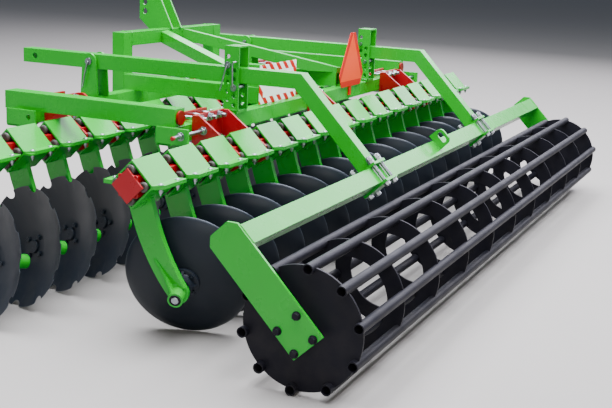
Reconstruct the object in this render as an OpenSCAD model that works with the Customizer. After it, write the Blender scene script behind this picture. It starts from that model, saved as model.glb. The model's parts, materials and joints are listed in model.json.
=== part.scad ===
// Mounted compact disc harrow with two rows of discs and a tube roller.
// +Z is up, +Y is the direction of travel and +X is the machine's right side.
// The origin is on the ground, in the middle of the machine.

/* [Disc rows] */
// Distance between neighbouring disc arms in a row
disc_pitch = 250; // [245:1:280]
// Distance between the two rows, front to back
row_spacing = 790; // [700:5:900]
// Place of the rear row's beam, front to back
rear_row_y = -200; // [-230:1:-180]
// Height of the row beams' centre lines
row_z = 640; // [620:1:700]

/* [Discs] */
// Diameter of a disc
disc_d = 510; // [460:1:520]
// Thickness of a disc
disc_t = 5; // [4:0.5:8]
// Depth of a disc's dish
disc_dish = 60; // [45:1:65]
// Flat seat in a disc's centre
disc_seat_d = 134; // [110:1:150]
// Angle between a disc and the direction of travel
disc_attack = 17; // [10:0.5:20]
// Lean of a disc from the vertical
disc_lean = 12; // [5:0.5:15]
// Distance from an arm to the plane of its disc's rim, along the axle
disc_reach = 147; // [140:1:155]
// Notches in a front disc
notches = 10; // [6:1:12]
// Width of a notch
notch_w = 52; // [30:1:60]
// Depth of a notch
notch_depth = 24; // [10:1:30]

/* [Hubs] */
// Diameter of a hub
hub_d = 84; // [76:1:96]
// Diameter of the hub's flange
hub_flange_d = 124; // [100:1:130]
// Thickness of the hub's flange
hub_flange_t = 12; // [8:1:16]
// Diameter of the hub's end cap, in the disc's centre hole
hub_cap_d = 58; // [50:1:64]
// Diameter of an axle
axle_d = 40; // [34:1:44]
// Diameter of the collar on an axle
axle_collar_d = 56; // [50:1:58]
// Thickness of that collar
axle_collar_t = 4; // [2:0.5:6]
// Running clearance of a hub on its axle
hub_clear = 0.1; // [0.05:0.01:0.1]
// Gap between a hub and its axle's collar
hub_gap = 2; // [1:0.5:4]

/* [Disc arms] */
// Thickness of an arm
arm_t = 25; // [20:1:30]
// Width of an arm below the clamp
arm_w = 104; // [90:1:110]
// Width of an arm at its boss
arm_end_w = 82; // [76:1:90]
// How far the boss trails behind the row's beam
arm_trail = 155; // [130:1:170]
// Outside diameter of a boss
boss_d = 60; // [56:1:70]
// Length of a boss outside the arm's middle
boss_out = 59; // [50:1:65]
// Length of a boss inside the arm's middle
boss_in = 25; // [22:1:30]

/* [Clamps] */
// Length of a clamp along the beam
clamp_w = 188; // [170:1:200]
// Distance from the beam's centre line to a clamp flange's edge
clamp_reach = 125; // [120:1:135]
// Half of the clamp's inside diagonal
clamp_in = 84; // [80:1:88]
// Thickness of the clamp plates
clamp_t = 8; // [6:1:10]
// Cut corner of a clamp flange
clamp_cut = 32; // [10:1:36]
// How far the rubber cords stick out of a clamp
cord_out = 14; // [5:1:20]
// Diameter of a clamp bolt
clamp_bolt_d = 14; // [12:1:16]
// Length of a clamp bolt below the flanges
clamp_bolt_out = 22; // [15:1:30]

/* [Row beams] */
// Side of a row beam
row_beam = 80; // [76:1:84]
// Wall of the square tubes
tube_wall = 6; // [4:0.5:8]
// How far a row beam runs past its outer arms
row_over = 117; // [112:1:130]
// Side of the end plates, which stand on a corner
end_plate = 96; // [90:1:104]
// Thickness of the end plates
end_plate_t = 8; // [6:1:10]

/* [Main frame] */
// Height of the cross beams' top faces
cross_top = 761; // [755:1:770]
// Side of a cross beam
cross_beam = 70; // [60:1:80]
// Distance from a row's beam to the rear face of its cross beam
cross_ahead = 167; // [155:1:180]
// How far a cross beam runs past the outer brackets
cross_over = 180; // [160:1:195]
// Side of the lengthwise beams
side_beam = 80; // [70:1:85]
// Thickness of the caps in the beams' ends
end_cap_t = 5; // [3:1:8]
// Distance from the ends of the cross beams in to the outer lengthwise beams
outer_in = 30; // [15:1:80]
// Outer face of the inner lengthwise beams
inner_x = 510; // [500:1:530]
// How far the outer beams run past the cross beams
outer_over = 36; // [20:1:60]
// Thickness of the lugs on the cross beams' ends
lug_t = 14; // [10:1:20]
// How far those lugs reach behind the cross beam
lug_back = 92; // [80:1:100]
// Height of the lugs
lug_h = 70; // [60:1:74]

/* [Row brackets] */
// Thickness of a bracket plate
bracket_t = 12; // [8:1:14]
// Height of a bracket above its cross beam
bracket_up = 39; // [30:1:45]
// Depth of a bracket below its cross beam
bracket_down = 24; // [20:1:30]
// How far a bracket runs past the row beam
bracket_back = 28; // [22:1:34]
// Thickness of the bracket's flange and of the clamp bar
flange_t = 12; // [10:1:16]
// Diameter of the long bolts past a cross beam
long_bolt_d = 18; // [14:1:20]

/* [Headstock] */
// Depth of the headstock's posts and top beam
head_d = 70; // [60:1:80]
// Height of the headstock's top
head_top = 1055; // [1050:1:1080]
// Height of the posts' lower ends
head_low = 480; // [460:1:500]
// Distance between the mast plates
mast_gap = 80; // [60:1:90]
// Thickness of the mast plates
mast_t = 12; // [10:1:16]
// Height of the lower link pins
link_z = 532; // [520:1:560]
// How far the link pins are ahead of the headstock
link_ahead = 78; // [70:1:90]
// Distance between the lower links
link_span = 1010; // [1000:1:1020]
// Diameter of the lower link holes
link_hole_d = 37; // [28:0.1:38]
// Thickness of the pads behind the link plates
pad_t = 12; // [8:1:16]
// Clear width between the lower link plates
link_gap = 62; // [56:1:70]
// Thickness of the lower link plates
link_t = 12; // [10:1:16]
// Lower mast hole above the link pins
mast_low = 610; // [600:1:620]
// Upper mast hole above the link pins
mast_high = 660; // [655:1:680]
// Diameter of the mast holes
mast_hole_d = 32; // [26:0.5:33]
// Side of the braces
brace = 60; // [50:1:70]

/* [Roller arms] */
// Side of a roller arm
roll_arm = 70; // [60:1:72]
// Outer face of the roller arms
roll_arm_x = 850; // [820:1:860]
// Height of the roller arms' tops
roll_arm_top = 972; // [968:1:976]
// Front end of the roller arms
roll_arm_front = 1202; // [1150:1:1220]
// Slope of the roller arms and side plates behind the bend
roll_slope = 46; // [42:0.5:50]
// Place of the pivot pins, front to back
pivot_y = 790; // [785:1:800]
// Diameter of the pivot pins
pivot_d = 24; // [20:1:30]
// Side clearance of the roller arms
arm_clear = 5; // [5:1:8]
// Thickness of the bracket and post plates
cheek_t = 10; // [8:1:12]

/* [Depth posts] */
// Rear edge of the posts
post_y = -45; // [-50:1:-40]
// Depth of a post's plates
post_d = 76; // [70:1:80]
// Height of the posts' tops
post_top = 1064; // [1050:1:1080]
// Thickness of a post's foot
post_foot = 15; // [10:1:20]
// Distance between the holes in a post
post_hole_gap = 40; // [36:1:44]
// Diameter of the depth pins
depth_pin_d = 20; // [16:1:20]
// Free play between a roller arm and the depth pin over it
play_up = 2; // [1:0.5:4]
// Free play between a roller arm and the depth pin under it
play_down = 12; // [8:0.5:16]

/* [Roller] */
// Place of the roller's axle, front to back
roller_y = -957; // [-970:1:-940]
// Circle of the roller's tubes
roller_circle_d = 450; // [430:1:470]
// Diameter of the roller's tubes
roller_tube_d = 40; // [32:1:44]
// Wall of the roller's tubes
roller_tube_wall = 4; // [3:0.5:6]
// Tubes of the roller
roller_tubes = 10; // [8:1:12]
// Angle of the roller's lowest tube ahead of the axle
roller_phase = 6; // [0:1:18]
// Gap between the roller's tubes and the side plates
tube_gap = 10; // [8:1:14]
// How far the tubes stand out of the end discs
tube_over = 26; // [20:1:30]
// Thickness of the end discs
roller_disc_t = 10; // [8:1:12]
// Rings between the end discs
roller_rings = 9; // [7:1:11]
// Hole in a ring
ring_hole_d = 320; // [280:1:340]
// Thickness of a ring
ring_t = 8; // [6:1:10]
// Diameter of the roller's axle stubs
stub_d = 50; // [40:1:56]

/* [Roller beam and side plates] */
// Side of the roller beam
roll_beam = 80; // [76:1:86]
// Distance from the roller's axle to the beam, up the slope
roll_beam_up = 371; // [360:1:380]
// Outer faces of the side plates
side_plate_x = 2100; // [2098:1:2105]
// Thickness of the side plates
side_plate_t = 12; // [10:1:12]
// Width of a side plate
side_plate_w = 146; // [140:1:156]
// Length of a side plate below the axle
side_plate_low = 70; // [66:1:80]
// Length of a side plate above the axle
side_plate_up = 448; // [440:1:460]
// Cut corners of a side plate
side_plate_cut = 29; // [20:1:36]
// Diameter of a bearing housing
bearing_d = 110; // [100:1:116]

/* [Signs] */
// Width of the warning board
board_w = 410; // [380:1:430]
// Height of the warning board
board_h = 192; // [180:1:200]
// Thickness of the boards
board_t = 3; // [2:0.5:5]
// Width of the slow vehicle triangle
triangle_w = 350; // [330:1:365]
// Side of the warning board that is nearer the middle of the machine
board_x = -158; // [-240:1:-120]
// Place of the slow vehicle triangle's middle, sideways
triangle_x = 505; // [400:1:600]
// Diameter of the round reflectors
reflector_d = 62; // [50:1:70]

/* [Hidden] */
$fn = 48;
discs = 16;
slim = 0.01;
disc_r = disc_d / 2;
// Radius of the disc's inner sphere
dish_r = (disc_r * disc_r + disc_dish * disc_dish) / (2 * disc_dish);
// Place along the axle of the rim's back edge, which is the disc's lowest point
rim_back = disc_reach - disc_dish + dish_r - sqrt((dish_r + disc_t) * (dish_r + disc_t) - disc_r * disc_r);
// The boss is as high as puts the disc's rim on the ground
boss_z = disc_r * cos(disc_lean) - rim_back * sin(disc_lean);
// Drop of the sphere over the flat seat
seat_rise = dish_r - sqrt(dish_r * dish_r - disc_seat_d * disc_seat_d / 4);
seat_s = disc_reach - disc_dish + seat_rise;
hub_start = boss_in + axle_collar_t + hub_gap;
clamp_out = clamp_in + clamp_t * sqrt(2);
cord_clear = 0.15;
cord_r = (clamp_in - row_beam / 2) / (1 + sqrt(2)) - cord_clear;
cord_at = clamp_in - (cord_r + cord_clear) * sqrt(2);
row_half = (discs - 1) / 2 * disc_pitch + row_over;
cross_half = 5 * disc_pitch + cross_over;
outer_x = cross_half - outer_in;
roller_half = side_plate_x - side_plate_t - tube_gap;
// Outer faces of the roller's end discs, from the middle
roller_disc_x = roller_half - tube_over;
front_row_y = rear_row_y + row_spacing;
rear_cross_y = rear_row_y + cross_ahead;
front_cross_y = front_row_y + cross_ahead;
cross_low = cross_top - cross_beam;
head_y = front_cross_y + cross_beam;
link_y = head_y + head_d + link_ahead;
pivot_z = roll_arm_top - roll_arm / 2;
bracket_x = [-5, -4, 0, 4, 5] * disc_pitch;
roller_z = roller_circle_d / 2 * cos(roller_phase) + roller_tube_d / 2;
screw_y = rear_cross_y - lug_back / 2 - 12;
screw_z = cross_top - cross_beam / 3;
green = [0.2, 0.66, 0.22];
red = [0.66, 0.13, 0.15];
black = [0.1, 0.1, 0.12];
zinc = [0.72, 0.73, 0.75];

function arm_x(k) = (k - (discs + 1) / 2) * disc_pitch;

// Square tube along X between two places, centred on Y and Z
module tube_x(x0, x1, side, wall = tube_wall) {
    translate([x0, 0, 0]) difference() {
        translate([0, -side / 2, -side / 2]) cube([x1 - x0, side, side]);
        translate([-1, -side / 2 + wall, -side / 2 + wall])
            cube([x1 - x0 + 2, side - 2 * wall, side - 2 * wall]);
    }
}

// Square tube along Y between two places, centred on X and Z
module tube_y(y0, y1, side, wall = tube_wall) {
    rotate([0, 0, 90]) tube_x(y0, y1, side, wall);
}

// Plate in the YZ plane, from x0 towards +X
module plate_x(x0, t, points) {
    translate([x0, 0, 0]) rotate([90, 0, 90]) linear_extrude(t) polygon(points);
}

// Children on both sides of the machine
module both_sides() {
    children();
    mirror([1, 0, 0]) children();
}

// Children at the rear row's beam and at the front row's beam
module both_rows() {
    translate([0, rear_row_y, row_z]) children();
    translate([0, front_row_y, row_z]) children();
}

// Places the children on the axle of one disc: the axle runs along local Z, from the arm to the disc
module at_axle(row, k) {
    y = row == 0 ? front_row_y : rear_row_y;
    translate([arm_x(k), y - arm_trail, boss_z])
        mirror([row == 0 ? 1 : 0, 0, 0])
            rotate([0, 90 - disc_lean, disc_attack]) children();
}

// Cross beams of the main frame
module cross_beams() {
    color(green) for (y = [rear_cross_y, front_cross_y])
        translate([0, y + cross_beam / 2, cross_top - cross_beam / 2])
            tube_x(-cross_half, cross_half, cross_beam);
}

// Lugs on the ends of the cross beams
module lugs() {
    color(green) for (y = [rear_cross_y, front_cross_y]) both_sides() difference() {
        translate([cross_half, y - lug_back, cross_low + 8])
            cube([lug_t, lug_back + cross_beam - 6, lug_h]);
        translate([cross_half - 1, y + (screw_y - rear_cross_y), screw_z])
            rotate([0, 90, 0]) cylinder(d = 24, h = lug_t + 2);
    }
}

// Outer and inner beams, on top of the cross beams
module lengthwise_beams() {
    z = cross_top + side_beam / 2;
    color(green) both_sides() {
        translate([outer_x - side_beam / 2, 0, z])
            tube_y(rear_cross_y, front_cross_y + cross_beam + outer_over, side_beam);
        for (y = [rear_cross_y, front_cross_y + cross_beam + outer_over - end_cap_t])
            translate([outer_x - side_beam + 1, y, cross_top + 1])
                cube([side_beam - 2, end_cap_t, side_beam - 2]);
        translate([inner_x - side_beam / 2, 0, z])
            tube_y(rear_cross_y + cross_beam - 18, head_y, side_beam);
    }
}

// Posts of the headstock with the pads for the link plates
module head_posts() {
    color(green) both_sides() {
        translate([inner_x - side_beam, head_y, head_low]) cube([side_beam, head_d, head_top - head_low]);
        translate([(link_span - link_gap) / 2 - link_t - 6, head_y + head_d, head_low])
            cube([link_gap + 2 * link_t + 12, pad_t, 130]);
    }
}

// Top beam between the posts
module head_beam() {
    half = inner_x - side_beam;
    color(green) translate([0, head_y + head_d / 2, head_top - head_d / 2]) tube_x(-half, half, head_d);
}

// Mast plates for the top link
module mast_plates() {
    outline = [[head_y - 12, head_top], [head_y + 66, head_top + 155], [head_y + 96, head_top + 182],
        [head_y + 178, head_top + 182], [head_y + 204, head_top + 160], [head_y + 204, head_top + 46],
        [head_y + head_d, head_top - head_d], [head_y + head_d, head_top]];
    color(green) both_sides() difference() {
        plate_x(mast_gap / 2, mast_t, outline);
        for (z = [mast_low, mast_high])
            translate([mast_gap / 2 - 1, link_y + 22, link_z + z]) rotate([0, 90, 0])
                cylinder(d = mast_hole_d, h = mast_t + 2);
    }
}

// Pairs of plates for the lower links
module link_plates() {
    r = link_z - head_low - 6;
    color(green) both_sides()
        for (x = [(link_span - link_gap) / 2 - link_t, (link_span + link_gap) / 2]) difference() {
            union() {
                translate([x, head_y + head_d + pad_t, link_z - r]) cube([link_t, link_ahead - pad_t, 2 * r]);
                translate([x, link_y, link_z]) rotate([0, 90, 0]) cylinder(r = r, h = link_t);
            }
            translate([x - 1, link_y, link_z]) rotate([0, 90, 0]) cylinder(d = link_hole_d, h = link_t + 2);
        }
}

// Braces from the headstock's top beam down to the rear ends of the inner beams
module braces() {
    p = [95, head_y + 40, head_top - 30];
    q = [inner_x - side_beam / 2, rear_cross_y + cross_beam - 10, cross_top + side_beam - 4];
    v = q - p;
    len = norm(v);
    color(green) both_sides() intersection() {
        translate(p) rotate([0, acos(v[2] / len), atan2(v[1], v[0])])
            translate([-brace / 2, -brace / 2, -60]) cube([brace, brace, len + 120]);
        translate([0, rear_cross_y + cross_beam - 18, cross_top + side_beam])
            cube([inner_x, head_y - rear_cross_y - cross_beam + 18, 400]);
    }
}

// Two plates on each side that carry the roller arm's pivot pin
module pivot_brackets() {
    r = 40;
    color(green) both_sides()
        for (x = [roll_arm_x - roll_arm - arm_clear - cheek_t, roll_arm_x + arm_clear])
            difference() {
                union() {
                    plate_x(x, cheek_t, [[pivot_y - 51, cross_top], [pivot_y + 51, cross_top],
                        [pivot_y + r, pivot_z], [pivot_y - r, pivot_z]]);
                    translate([x, pivot_y, pivot_z]) rotate([0, 90, 0]) cylinder(r = r, h = cheek_t);
                }
                translate([x - 1, pivot_y, pivot_z]) rotate([0, 90, 0])
                    cylinder(d = pivot_d + 0.2, h = cheek_t + 2);
            }
}

// Guide posts with two columns of holes for the depth pins
module depth_posts() {
    foot_top = cross_top + post_foot;
    x0 = roll_arm_x - roll_arm - arm_clear - cheek_t;
    w = roll_arm + 2 * arm_clear + 2 * cheek_t;
    color(green) both_sides() {
        translate([x0, rear_cross_y - 8, cross_top]) cube([w, post_d + 4, post_foot]);
        translate([x0, post_y, post_top]) cube([w, post_d, 8]);
        for (x = [x0, x0 + w - cheek_t]) difference() {
            translate([x, post_y, foot_top]) cube([cheek_t, post_d, post_top - foot_top]);
            for (i = [-3 : 2], c = [0, 1])
                translate([x - 1, depth_hole_y(c), depth_hole_z(i, c)]) rotate([0, 90, 0])
                    cylinder(d = depth_pin_d + 0.4, h = cheek_t + 2);
        }
    }
}

// The front column's hole 1 is over the arm and the rear column's hole 0 is under it
function depth_hole_y(c) = post_y + post_d * (c == 0 ? 0.3 : 0.74);
function depth_hole_z(i, c) = c == 0
    ? roll_arm_top - roll_arm - play_down - depth_pin_d / 2 + i * post_hole_gap
    : roll_arm_top + play_up + depth_pin_d / 2 + (i - 1) * post_hole_gap;

// Pin with a head on the outside
module cross_pin(d) {
    x0 = roll_arm_x - roll_arm - arm_clear - cheek_t - 14;
    x1 = roll_arm_x + arm_clear + cheek_t;
    rotate([0, 90, 0]) {
        translate([0, 0, x0]) cylinder(d = d, h = x1 - x0 + 1);
        translate([0, 0, x1]) cylinder(d = d + 12, h = 8);
    }
}

module pivot_pins() {
    color(zinc) both_sides() translate([0, pivot_y, pivot_z]) cross_pin(pivot_d);
}

module depth_pins() {
    color(zinc) both_sides() {
        translate([0, depth_hole_y(1), depth_hole_z(1, 1)]) cross_pin(depth_pin_d);
        translate([0, depth_hole_y(0), depth_hole_z(0, 0)]) cross_pin(depth_pin_d);
    }
}

// The beams of both rows, with their end plates
module row_beams() {
    color(red) both_rows() {
        tube_x(-row_half, row_half, row_beam);
        both_sides() translate([row_half, 0, 0]) rotate([45, 0, 0])
            translate([0, -end_plate / 2, -end_plate / 2]) cube([end_plate_t, end_plate, end_plate]);
    }
}

// Plates round the row beams, flanges behind the cross beams and bars ahead of them
module row_brackets() {
    b = row_beam / 2;
    top = cross_top + bracket_up - row_z;
    low = cross_low - bracket_down - row_z;
    color(red) both_rows() {
        for (x = bracket_x) difference() {
            plate_x(x - bracket_t / 2, bracket_t, [[cross_ahead, top], [cross_ahead - 36, top],
                [-b - bracket_back, 16], [-b - bracket_back, -b - 4], [-b, -b - 22], [b, -b - 22],
                [cross_ahead, low]]);
            translate([x - bracket_t, -b, -b]) cube([2 * bracket_t, row_beam, row_beam]);
        }
        for (y = [cross_ahead - flange_t, cross_ahead + cross_beam]) {
            for (s = [-1, 1])
                translate([s * 4.5 * disc_pitch - disc_pitch / 2 + bracket_t / 2, y, low])
                    cube([disc_pitch - bracket_t, flange_t, top - low]);
            if (y > cross_ahead)
                translate([-60, y, low]) cube([120, flange_t, top - low]);
            else
                both_sides() translate([bracket_t / 2, y, low])
                    cube([60 - bracket_t / 2, flange_t, top - low]);
        }
    }
}

// Long bolts over and under the cross beams
module frame_bolts() {
    xs = concat([for (s = [-1, 1], i = [-1 : 1]) s * 4.5 * disc_pitch + i * 85], [-36, 36]);
    y0 = cross_ahead - flange_t;
    y1 = cross_ahead + cross_beam + flange_t;
    over = cross_top + bracket_up / 2 - row_z;
    under = cross_low - bracket_down / 2 - row_z;
    color(zinc) both_rows() for (x = xs, z = [over, under])
        translate([x, y0 - 10, z]) rotate([-90, 0, 0]) {
            cylinder(d = long_bolt_d + 8, h = 10, $fn = 6);
            translate([0, 0, flange_t + 10]) cylinder(d = long_bolt_d, h = cross_beam);
            translate([0, 0, y1 - y0 + 10]) cylinder(d = long_bolt_d + 8, h = 10, $fn = 6);
        }
}

// Threaded rods that set the rear row sideways
module adjusting_screws() {
    x0 = 5 * disc_pitch + bracket_t / 2;
    color(zinc) both_sides() translate([0, screw_y, screw_z]) rotate([0, 90, 0]) {
        translate([0, 0, x0]) cylinder(d = 18, h = cross_half + lug_t + 70 - x0);
        translate([0, 0, x0]) cylinder(d = 32, h = 14, $fn = 6);
        translate([0, 0, cross_half + lug_t]) cylinder(d = 32, h = 16, $fn = 6);
    }
}

// Half of a clamp in the YZ plane: flange, slope, crest, slope, flange
module clamp_half() {
    w = clamp_w / 2;
    difference() {
        plate_x(-w, clamp_w, [[-clamp_reach, 0], [-clamp_in, 0], [0, clamp_in], [clamp_in, 0],
            [clamp_reach, 0], [clamp_reach, clamp_t], [clamp_out - clamp_t, clamp_t], [0, clamp_out],
            [-clamp_out + clamp_t, clamp_t], [-clamp_reach, clamp_t]]);
        for (s = [-1, 1]) translate([s * w, s * clamp_reach, -1]) rotate([0, 0, 45])
            translate([-clamp_cut / sqrt(2), -clamp_cut / sqrt(2), 0])
                cube([clamp_cut * sqrt(2), clamp_cut * sqrt(2), clamp_t + 2]);
    }
}

module upper_clamps() {
    color(green) both_rows() for (k = [1 : discs]) translate([arm_x(k), 0, 0]) clamp_half();
}

// Arm outline: a bend from the clamp down and back to the boss
function arm_mid(t) = let(p = [22, -60], c = [-arm_trail * 0.2, -270], q = [-arm_trail, boss_z - row_z])
    (1 - t) * (1 - t) * p + 2 * t * (1 - t) * c + t * t * q;
function arm_side(t, s) = let(v = arm_mid(t + 0.01) - arm_mid(t - 0.01), n = [-v[1], v[0]] / norm(v),
    w = arm_w + (arm_end_w - arm_w) * t * t)
    arm_mid(t) + s * n * w / 2;
arm_steps = 10;

module disc_arm() {
    difference() {
        union() {
            mirror([0, 0, 1]) clamp_half();
            difference() {
                plate_x(-arm_t / 2, arm_t, concat([[74, -6], [-30, -6]],
                    [for (i = [0 : arm_steps]) arm_side(i / arm_steps, -1)],
                    [for (i = [arm_steps : -1 : 0]) arm_side(i / arm_steps, 1)]));
                rotate([45, 0, 0]) translate([-arm_t, -clamp_in / sqrt(2), -clamp_in / sqrt(2)])
                    cube([2 * arm_t, clamp_in * sqrt(2), clamp_in * sqrt(2)]);
            }
            arm_axle() translate([0, 0, -boss_out]) cylinder(d = boss_d, h = boss_out + boss_in);
            arm_axle() rotate([0, disc_lean, 0]) cylinder(d = arm_end_w, h = arm_t * 0.9, center = true);
        }
        arm_axle() translate([0, 0, -boss_out - 1]) cylinder(d = axle_d + 0.2, h = boss_out + boss_in + 2);
    }
}

module arm_axle() {
    translate([0, -arm_trail, boss_z - row_z]) rotate([0, 90 - disc_lean, disc_attack]) children();
}

module disc_arms() {
    color(green) for (k = [1 : discs]) {
        translate([arm_x(k), rear_row_y, row_z]) disc_arm();
        translate([arm_x(k), front_row_y, row_z]) mirror([1, 0, 0]) disc_arm();
    }
}

// Four cords in the corners of each clamp
module rubber_cords() {
    l = clamp_w + 2 * cord_out;
    color(black) both_rows() for (k = [1 : discs], a = [0 : 90 : 270])
        rotate([a, 0, 0]) translate([arm_x(k) - l / 2, 0, cord_at]) rotate([0, 90, 0])
            cylinder(r = cord_r, h = l, $fn = 24);
}

// Fixed axles in the bosses
module axles() {
    color(zinc) for (row = [0, 1], k = [1 : discs]) at_axle(row, k) {
        translate([0, 0, -boss_out + 6]) cylinder(d = axle_d, h = boss_out - 6 + seat_s - disc_t - 8);
        translate([0, 0, boss_in]) cylinder(d = axle_collar_d, h = axle_collar_t);
    }
}

// One disc with its hub, along local Z from the arm
module disc(notched) {
    difference() {
        union() {
            difference() {
                intersection() {
                    difference() {
                        translate([0, 0, disc_reach - disc_dish + dish_r]) sphere(r = dish_r + disc_t, $fn = 96);
                        translate([0, 0, disc_reach - disc_dish + dish_r]) sphere(r = dish_r, $fn = 96);
                    }
                    translate([0, 0, disc_reach - disc_dish - 2 * disc_t])
                        cylinder(r = disc_r, h = disc_dish + 2 * disc_t, $fn = 96);
                }
                translate([0, 0, disc_reach - disc_dish - 2 * disc_t])
                    cylinder(d = disc_seat_d, h = 4 * disc_t);
                if (notched)
                    for (i = [0 : notches - 1]) rotate([0, 0, (i + 0.5) * 360 / notches])
                        translate([disc_r + notch_w / 2 - notch_depth, 0, disc_reach - disc_dish])
                            cylinder(d = notch_w, h = 2 * disc_dish);
            }
            translate([0, 0, seat_s - disc_t]) cylinder(d = disc_seat_d, h = disc_t);
            translate([0, 0, hub_start]) cylinder(d = hub_d, h = seat_s - disc_t - hub_start);
            translate([0, 0, seat_s - disc_t - hub_flange_t]) cylinder(d = hub_flange_d, h = hub_flange_t);
            translate([0, 0, seat_s - slim]) cylinder(d = hub_cap_d, h = 9);
        }
        translate([0, 0, hub_start - 1]) cylinder(r = axle_d / 2 + hub_clear, h = seat_s - disc_t - 6 - hub_start + 1);
    }
}

module front_disc(k) {
    color(black) at_axle(0, k) disc(true);
}

module rear_disc(k) {
    color(black) at_axle(1, k) disc(false);
}

// Places the children at the roller's axle, with local Y up the slope and local Z square to it
module at_slope() {
    translate([0, roller_y, roller_z]) rotate([roll_slope, 0, 0]) children();
}

// Bent arms of the roller frame
module roller_arms() {
    s = sin(roll_slope);
    c = cos(roll_slope);
    face = side_plate_w / 2;
    // Point at height n over the axle's slope line, where the horizontal line at height z meets it
    end_u = roll_beam_up + roll_beam / 2 + flange_t;
    function on_slope(u, n) = [roller_y + u * c - n * s, roller_z + u * s + n * c];
    function bend(n, z) = let(u = (z - roller_z - n * c) / s) on_slope(u, n);
    function outline(w) = [[roll_arm_front, roll_arm_top - w], bend(face - w, roll_arm_top - w),
        on_slope(end_u, face - w), on_slope(end_u, face - roll_arm + w),
        bend(face - roll_arm + w, roll_arm_top - roll_arm + w), [roll_arm_front, roll_arm_top - roll_arm + w]];
    color(green) both_sides() {
        difference() {
            plate_x(roll_arm_x - roll_arm, roll_arm, outline(0));
            plate_x(roll_arm_x - roll_arm + tube_wall, roll_arm - 2 * tube_wall, outline(tube_wall));
            for (p = [[pivot_y, pivot_d + 0.2], [roll_arm_front - 72, 28]])
                translate([roll_arm_x - roll_arm - 1, p[0], pivot_z]) rotate([0, 90, 0])
                    cylinder(d = p[1], h = roll_arm + 2);
        }
        at_slope() translate([roll_arm_x - roll_arm / 2 - 65, end_u - flange_t, face - 110])
            cube([130, flange_t, 140]);
    }
}

// Beam across the roller frame, with its clamp plates and lifting eye
module roller_beam() {
    face = side_plate_w / 2;
    half = side_plate_x - side_plate_t;
    color(green) {
        at_slope() translate([0, roll_beam_up, face - roll_beam / 2]) tube_x(-half, half, roll_beam);
        both_sides() at_slope()
            translate([roll_arm_x - roll_arm / 2 - 65, roll_beam_up - roll_beam / 2 - flange_t, face - 110])
                cube([130, flange_t + slim, 140]);
        at_slope() translate([-8, roll_beam_up + 8, face]) difference() {
            hull() {
                translate([0, -28, -slim]) cube([16, 90, 4]);
                translate([0, 0, 52]) rotate([0, 90, 0]) cylinder(r = 26, h = 16, $fn = 32);
                translate([0, 34, 52]) rotate([0, 90, 0]) cylinder(r = 26, h = 16, $fn = 32);
            }
            hull() for (y = [0, 34]) translate([-1, y, 50]) rotate([0, 90, 0]) cylinder(r = 13, h = 18, $fn = 32);
        }
    }
}

// Side plates with the roller's bearing housings
module side_plates() {
    w = side_plate_w / 2;
    x = side_plate_x - side_plate_t;
    color(green) both_sides() difference() {
        union() {
            at_slope() plate_x(x, side_plate_t, [[-side_plate_low, -w], [side_plate_up - side_plate_cut, -w],
                [side_plate_up, -w + side_plate_cut], [side_plate_up, w - side_plate_cut],
                [side_plate_up - side_plate_cut, w], [-side_plate_low, w]]);
            translate([roller_disc_x + 5, roller_y, roller_z]) rotate([0, 90, 0])
                cylinder(d = bearing_d, h = x - roller_disc_x - 5);
        }
        translate([roller_disc_x - 1, roller_y, roller_z]) rotate([0, 90, 0])
            cylinder(d = stub_d + 0.2, h = side_plate_x - side_plate_t / 2 - roller_disc_x + 1);
    }
}

// Cage roller: end discs, rings, tubes and axle stubs
module roller() {
    step = 2 * (roller_disc_x - roller_disc_t / 2) / (roller_rings + 1);
    tube_r = roller_tube_d / 2;
    turn = 360 / roller_tubes;
    color(black) translate([0, roller_y, roller_z]) rotate([0, 90, 0]) difference() {
        union() {
            both_ends() translate([0, 0, roller_disc_x - roller_disc_t])
                cylinder(d = roller_circle_d + 10, h = roller_disc_t, $fn = 72);
            both_ends() cylinder_at(roller_disc_x - slim, side_plate_x - side_plate_t / 2 - 4, stub_d);
            for (i = [1 : roller_rings]) translate([0, 0, -roller_disc_x + roller_disc_t / 2 + i * step - ring_t / 2])
                difference() {
                    cylinder(d = roller_circle_d + 6, h = ring_t, $fn = 72);
                    translate([0, 0, -1]) cylinder(d = ring_hole_d, h = ring_t + 2, $fn = 72);
                }
            for (i = [0 : roller_tubes - 1]) rotate([0, 0, i * turn + roller_phase])
                translate([roller_circle_d / 2, 0, -roller_half])
                    cylinder(r = tube_r, h = 2 * roller_half, $fn = 24);
        }
        for (i = [0 : roller_tubes - 1]) rotate([0, 0, i * turn + roller_phase])
            translate([roller_circle_d / 2, 0, -roller_half - 1])
                cylinder(r = tube_r - roller_tube_wall, h = 2 * roller_half + 2, $fn = 24);
    }
}

module both_ends() {
    children();
    mirror([0, 0, 1]) children();
}

module cylinder_at(z0, z1, d) {
    translate([0, 0, z0]) cylinder(d = d, h = z1 - z0);
}

// Warning board on the rear cross beam
module warning_board() {
    color("white") translate([board_x - board_w, rear_cross_y + 28, cross_top + 6])
        cube([board_w, board_t, board_h]);
    color("dimgray") for (x = [-250, -100]) translate([board_x + x, rear_cross_y + 28 + board_t, cross_top]) {
        cube([30, 4, board_h]);
        cube([30, 30, 4]);
    }
}

// Slow vehicle triangle with its corners cut off
module slow_vehicle_triangle() {
    h = triangle_w * 0.87;
    c = 36;
    color("orangered") translate([triangle_x, rear_cross_y - 8, cross_top + 2]) rotate([90, 0, 0])
        linear_extrude(board_t) polygon([[-triangle_w / 2 + c, 0], [triangle_w / 2 - c, 0],
            [triangle_w / 2, c * 1.9], [c, h], [-c, h], [-triangle_w / 2, c * 1.9]]);
    color("dimgray") translate([triangle_x - 15, rear_cross_y - 8, cross_low + 20]) {
        cube([30, 4, h]);
        translate([0, 4, 0]) cube([30, 4, 30]);
    }
}

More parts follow.
